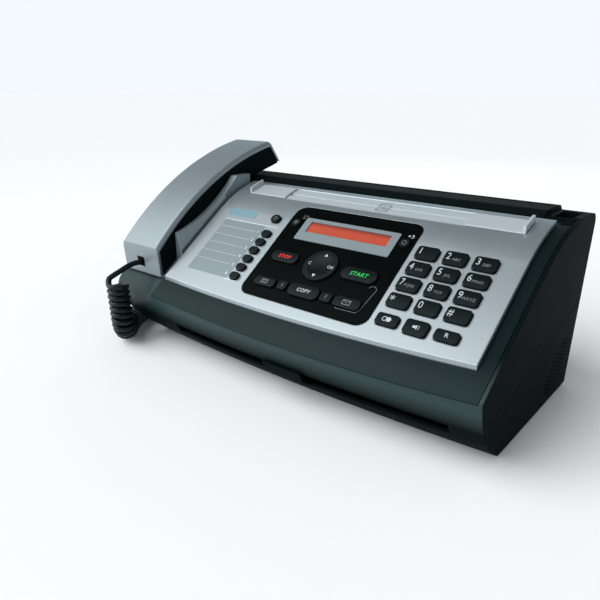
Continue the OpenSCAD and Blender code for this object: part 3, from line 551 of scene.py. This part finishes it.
def addShape(bm, kind, x, y, *size):
    # one flat shape: a bar (width, length, corner), a line (far end x and y, width), a frame (width,
    # length, corner, border), a ring (radius, border), a disc (radius) or a wedge (radius, direction)
    middle, turn = Vector((x, y, 0)), 0.0
    if kind == "line":
        run = Vector((size[0] - x, size[1] - y, 0))
        middle, turn = middle + run / 2, atan2(run.y, run.x)
        size = (run.length + size[2], size[2])
    if kind == "wedge":
        turn = radians(size[1] - 90)
    place = Matrix.Translation(middle) @ Matrix.Rotation(turn, 4, "Z")
    if kind in ("bar", "line", "frame"):
        place = place @ Matrix.Diagonal((size[0], size[1], 1, 1))
        made = bmesh.ops.create_grid(bm, x_segments=1, y_segments=1, size=0.5, matrix=place)["verts"]
    else:
        corners = 3 if kind == "wedge" else shapeDetail["roundSegments"]
        made = bmesh.ops.create_circle(bm, cap_ends=True, segments=corners, radius=size[0],
                                       matrix=place)["verts"]
    face = made[0].link_faces[0]
    if kind in ("bar", "frame") and len(size) > 2:
        bevelled = bmesh.ops.bevel(bm, geom=made, offset=size[2], segments=shapeDetail["cornerSegments"],
                                   profile=0.5, affect="VERTICES", material=-1)
        face = max((f for v in bevelled["verts"] for f in v.link_faces), key=lambda f: f.calc_area())
    if kind in ("frame", "ring"):
        bmesh.ops.inset_region(bm, faces=[face], thickness=size[-1], use_even_offset=True, use_boundary=True)
        bmesh.ops.delete(bm, geom=[face], context="FACES")

def drawShapes(name, shapes, thick, place, finish, body, crowned=False):
    # flat shapes in mm, raised by thick and made one piece
    bm = bmesh.new()
    for shape in shapes:
        addShape(bm, *shape)
    raised = bmesh.ops.extrude_face_region(bm, geom=bm.faces[:])["geom"]
    bmesh.ops.translate(bm, vec=(0, 0, thick), verts=[v for v in raised if isinstance(v, bmesh.types.BMVert)])
    bmesh.ops.scale(bm, vec=(mm, mm, mm), verts=bm.verts[:])
    if crowned:
        followCrown(bm.verts)
    bm.transform(place)
    made = meshObject(name, bm, finish)
    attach(made, body)

def linesThrough(points, width):
    return [("line", *a, *b, width) for a, b in zip(points, points[1:])]

keyPrint = {
    "numberSize": 8.0 * mm,
    "numberWidth": 0.82,         # the digits' width as a share of the typeface's
    "letterSize": 3.3 * mm,
    "wordSwell": 0.014,          # share of a word's size by which its strokes grow
    "numberAt": (-4.9, 0.5),     # mm from the key's middle
    "lettersAt": (1.3, -1.4),
    "thick": 0.05,
    "faces": {
        "key_1": ("1", ""), "key_2": ("2", "ABC"), "key_3": ("3", "DEF"), "key_4": ("4", "GHI"),
        "key_5": ("5", "JKL"), "key_6": ("6", "MNO"), "key_7": ("7", "PQRS"), "key_8": ("8", "TUV"),
        "key_9": ("9", "WXYZ"), "key_0": ("0", ""), "key_hash": ("#", ""),
    },
    # key: words, size, lean, finish
    "words": {
        "stop_key": ("STOP", 4.7 * mm, 0.1, "printRed"),
        "start_key": ("START", 4.9 * mm, 0.15, "printGreen"),
        "copy_key": ("COPY", 4.4 * mm, 0.1, "printWhite"),
        "info_key": ("i", 4.4 * mm, 0.1, "printFaint"),
        "fine_key": ("?", 4.4 * mm, 0, "printFaint"),
        "flash_key": ("R", 4.4 * mm, 0, "printWhite"),
    },
    # key: finish, shapes in mm
    "icons": {
        "fax_key": ("printFaint", [("frame", 0, 0, 6.4, 3.8, 0.3, 0.55), ("line", -2, 0.7, 2, 0.7, 0.35),
                                   ("line", -2, -0.6, 1, -0.6, 0.35)]),
        "mail_key": ("printFaint", [("frame", 0, 0, 6.8, 4.2, 0.3, 0.55), ("line", -2.9, 1.6, 0, -0.4, 0.35),
                                    ("line", 2.9, 1.6, 0, -0.4, 0.35)]),
        "key_star": ("printWhite", [("line", -4.9, -0.9, -4.9, 2.9, 0.5),
                                    ("line", -6.5, 0.05, -3.3, 1.95, 0.5),
                                    ("line", -6.5, 1.95, -3.3, 0.05, 0.5)]),
        "contrast_key": ("printWhite", [("ring", -1.7, 0, 1.9, 0.55), ("disc", 1.3, 0, 1.9)]),
        "speaker_key": ("printWhite", [("bar", -1.5, 0, 1.3, 1.9), ("wedge", 0, 0, 2.0, 180),
                                       ("line", 2.2, -1.4, 2.2, 1.4, 0.4)]),
        "redial_key": ("printFaint", [("ring", 0, 0, 1.7, 0.4), ("wedge", 1.5, 0.6, 0.8, 60)]),
        "intercom_key": ("printFaint", [("ring", 0, 0, 1.9, 0.35), ("disc", 0, 0, 0.7)]),
        "answer_key": ("printFaint", [("ring", 0, 0, 1.9, 0.35)]),
    },
}

def printKeys(c):
    for key, (number, letters) in c["faces"].items():
        printText(key + "Number", number, c["numberSize"], keyPlace(key, *c["numberAt"]), "printWhite",
                  "b_" + key, width=c["numberWidth"])
        if letters:
            printText(key + "Letters", letters, c["letterSize"], keyPlace(key, *c["lettersAt"]), "printFaint",
                      "b_" + key)
    for key, (words, size, lean, finish) in c["words"].items():
        printText(key + "Word", words, size, keyPlace(key), finish, "b_" + key, True, lean, c["wordSwell"])
    for key, (finish, shapes) in c["icons"].items():
        drawShapes(key + "Icon", shapes, c["thick"], keyPlace(key), finish, "b_" + key, True)

printKeys(keyPrint)

navPrint = {
    "key": "nav_key",
    "dishRadius": 60,            # mm, as the next ones
    "dishDepth": 0.9,
    "reach": 9.8,                # distance of the marks from the middle
    "wedgeRadius": 1.8,
    "thick": 0.05,
    "wordSize": 4.0 * mm,
}

def printNavKey(c):
    key, reach, body = c["key"], c["reach"], "b_" + c["key"]
    # the marks lie in the key's dish
    sink = c["dishDepth"] - reach ** 2 / (2 * c["dishRadius"])
    lower = Matrix.Translation((0, 0, -sink * mm))
    for name, s, turn in (("Up", reach, 90), ("Down", -reach, -90)):
        drawShapes(key + name, [("wedge", 0, 0, c["wedgeRadius"], turn)], c["thick"],
                   keyPlace(key, 0, s) @ lower, "printWhite", body)
    for name, words, x in (("Clear", "C", -reach), ("Enter", "OK", reach)):
        printText(key + name, words, c["wordSize"], keyPlace(key, x, 0) @ lower, "printWhite", body)

printNavKey(navPrint)
print("keys printed")

# sizes and places on the panel, in mm
labels = {
    # lines over and beside the directory labels and their keys: points, width
    "lines": {
        "labelTopLine": ([(-98.5, -10.0), (-37.0, -10.0)], 0.55),
        "labelFootLine": ([(-52.0, -70.5), (-39.2, -70.5), (-37.6, -69.9), (-37.0, -68.3), (-37.0, -58.0)],
                          0.4),
    },
    "lineThick": 0.14,
    "card": (-73.8, -40.25, 48.6, 59.3, 0.6),
    "cardThick": 0.084,
    "rows": 6,
    "rowStart": -18.4,
    "rowPitch": 9.46,
    "rowLine": (-97.6, -56.5, 0.35),    # from x, to x, width
    "rowThick": 0.196,
    "numberX": -53.2,
    "numberRise": 0.6,           # from a row's line up to the middle of its number
    "numberSize": 4.3 * mm,
    "sticker": (-84.5, -0.7, 33, 8.6, 1.2),
    "stickerLift": 0.02,
}

def makeLabels(c):
    for name, (points, width) in c["lines"].items():
        drawShapes(name, linesThrough(points, width), c["lineThick"], panelPlace(0, 0), "trimBright", "lid")
    x, s, *size = c["card"]
    drawShapes("labelCard", [("bar", 0, 0, *size)], c["cardThick"], panelPlace(x, s), "cardGrey", "lid")
    start, end, width = c["rowLine"]
    rows = [c["rowStart"] - c["rowPitch"] * k for k in range(c["rows"])]
    drawShapes("labelRows", [("line", start, s, end, s, width) for s in rows[:-1]], c["rowThick"],
               panelPlace(0, 0), "printWhite", "lid")
    for k, s in enumerate(rows, 1):
        printText("labelNumber%d" % k, str(k), c["numberSize"],
                  panelPlace(c["numberX"], s + c["numberRise"], c["cardThick"]), "trimBright", "lid")
    x, s, *size = c["sticker"]
    drawShapes("bareSticker", [("bar", 0, 0, *size)], c["lineThick"], panelPlace(x, s, c["stickerLift"]),
               "labelBlue", "lid")

makeLabels(labels)

insertMarks = {
    "surface": 0.3,              # the black insert stands this far above the panel
    "thick": 0.05,
    # mark: place on the panel, finish, shapes as seen from that place
    "marks": {
        "mailKeyLine": ((0, 0), "printFaint", linesThrough(
            [(59.9, -68.6), (60.2, -69.4), (77.4, -69.0), (79.4, -66.2), (82.7, -46.8), (80.6, -44.6),
             (77.6, -44.8), (76.4, -46.6)], 0.3)),
        "intercomMark": ((-17.8, 7.0), "printFaint", [
            ("ring", 0, 0, 1.3, 0.3), ("disc", 2.6, 1.0, 0.6), ("line", -1.6, -2.2, 1.4, -2.2, 0.35)]),
        "answerMark": ((83.6, 5.4), "printWhite", [
            ("disc", -1.6, 0, 0.8), ("disc", 1.2, 0.9, 0.8), ("line", 0.6, -1.8, 2.6, -0.6, 0.45)]),
    },
}

def markInsert(c):
    for name, ((x, s), finish, shapes) in c["marks"].items():
        drawShapes(name, shapes, c["thick"], panelPlace(x, s, c["surface"]), finish, "lid")

markInsert(insertMarks)

tableMark = {
    "place": (42, 35.6),         # on the panel, in mm
    "depth": -0.8,               # the document table lies this far below the panel's line
    "thick": 0.25,
    "width": 10,
    "length": 12,
    "line": 0.45,
    "printRows": (-3.2, -0.6, 2.0),
}

def embossTable(c):
    # a raised page whose far edge is a point, with three lines of print, embossed in the table's own grey;
    # its darker cradle grey is painted shade that makes the embossing show
    side, foot, shoulder, tip = c["width"] / 2, -c["length"] / 2, c["length"] / 3, c["length"] / 2
    shapes = linesThrough([(-side, shoulder), (-side, foot), (side, foot), (side, shoulder), (0, tip),
                           (-side, shoulder)], c["line"])
    shapes += [("line", -side / 2, y, side / 2, y, c["line"]) for y in c["printRows"]]
    drawShapes("tableMark", shapes, c["thick"], panelPlace(*c["place"], c["depth"]), "cradleGrey", "lid")

embossTable(tableMark)

handsetParts = {
    "x": -153,
    # y and z of the middle in mm, slope of the face in degrees, ring radius
    "pieces": {
        "ear": (66, 141.5, 14.74, 13.0),
        "mouth": (-55, 70.3, 35.5, 12.0),
    },
    "ringWidth": 1.0,
    "ringThick": 0.3,
    "holes": 6,                  # round a hole in the middle
    "holeRadius": 0.9,
    "holeRing": 5.2,
    "shadeSheetThick": 0.1,            # of the dark sheets of painted shade in the holes and the window
    # painted shade in the cord's window, a dark sheet: place, width, height, corner
    "window": ((-154, -68.7, 71.5), 9.6, 8.6, 0.5),
}

def makeHandsetParts(c):
    for name, (y, z, angle, radius) in c["pieces"].items():
        # the rings and holes face down
        place = (Matrix.Translation(Vector((c["x"], y, z)) * mm) @ Matrix.Rotation(radians(angle), 4, "X")
                 @ Matrix.Rotation(pi, 4, "X"))
        turns = [2 * pi * k / c["holes"] for k in range(c["holes"])]
        holes = [(c["holeRing"] * cos(a), c["holeRing"] * sin(a)) for a in turns] + [(0, 0)]
        drawShapes(name + "Ring", [("ring", 0, 0, radius, c["ringWidth"])], c["ringThick"], place,
                   "keyBlack", "handset")
        # painted shade: dark discs stand for the holes, which are dark only by shade
        drawShapes(name + "Holes", [("disc", *hole, c["holeRadius"]) for hole in holes], c["shadeSheetThick"],
                   place, "insertBlack", "handset")
    at, *size = c["window"]
    front = Matrix.Translation(Vector(at) * mm) @ Matrix.Rotation(pi / 2, 4, "X")
    # painted shade: a dark sheet fills the cord's window, which is dark only by shade
    drawShapes("cordWindowShade", [("bar", 0, 0, *size)], c["shadeSheetThick"], front, "insertBlack", "handset")

makeHandsetParts(handsetParts)

underside = {
    "height": 2.0,               # of the underside over the ground
    "plate": (20, 20, 70, 40, 2.0),    # x, y, width, length, corner
    "plateThick": 0.2,
    "screws": [(-120, 55), (150, 55), (-120, -30), (150, -30)],
    "screwRadius": 3.2,
    "screwThick": 0.4,
    "crossWidth": 0.7,
    "crossThick": 0.05,
}

def makeUnderside(c):
    def below(x, y, drop=0.0):
        return Matrix.Translation(Vector((x, y, c["height"] - drop)) * mm) @ Matrix.Rotation(pi, 4, "X")
    x, y, *size = c["plate"]
    drawShapes("bareRatingPlate", [("bar", 0, 0, *size)], c["plateThick"], below(x, y), "labelPale",
               "housing")
    radius, width = c["screwRadius"], c["crossWidth"]
    cross = [("bar", 0, 0, radius, width), ("bar", 0, 0, width, radius)]
    for k, (x, y) in enumerate(c["screws"]):
        drawShapes("screw%dHead" % k, [("disc", 0, 0, radius)], c["screwThick"], below(x, y), "zincSteel",
                   "housing")
        # painted shade: a dark cross stands for the shaded recess in each screw head
        drawShapes("screw%dCross" % k, cross, c["crossThick"], below(x, y, c["screwThick"]), "rollerRubber",
                   "housing")

makeUnderside(underside)
print("labels, marks and handset parts made")

displayWindow = {
    "place": (31, -3.0),         # on the panel, in mm
    "size": (75.8, 11.0),
    "lift": 0.02,
    "thick": 0.1,
}

def makeWindow(c):
    drawShapes("displayWindow", [("bar", 0, 0, *c["size"])], c["thick"], panelPlace(*c["place"], c["lift"]),
               "displayOrange", "lid")

makeWindow(displayWindow)
print("display made")
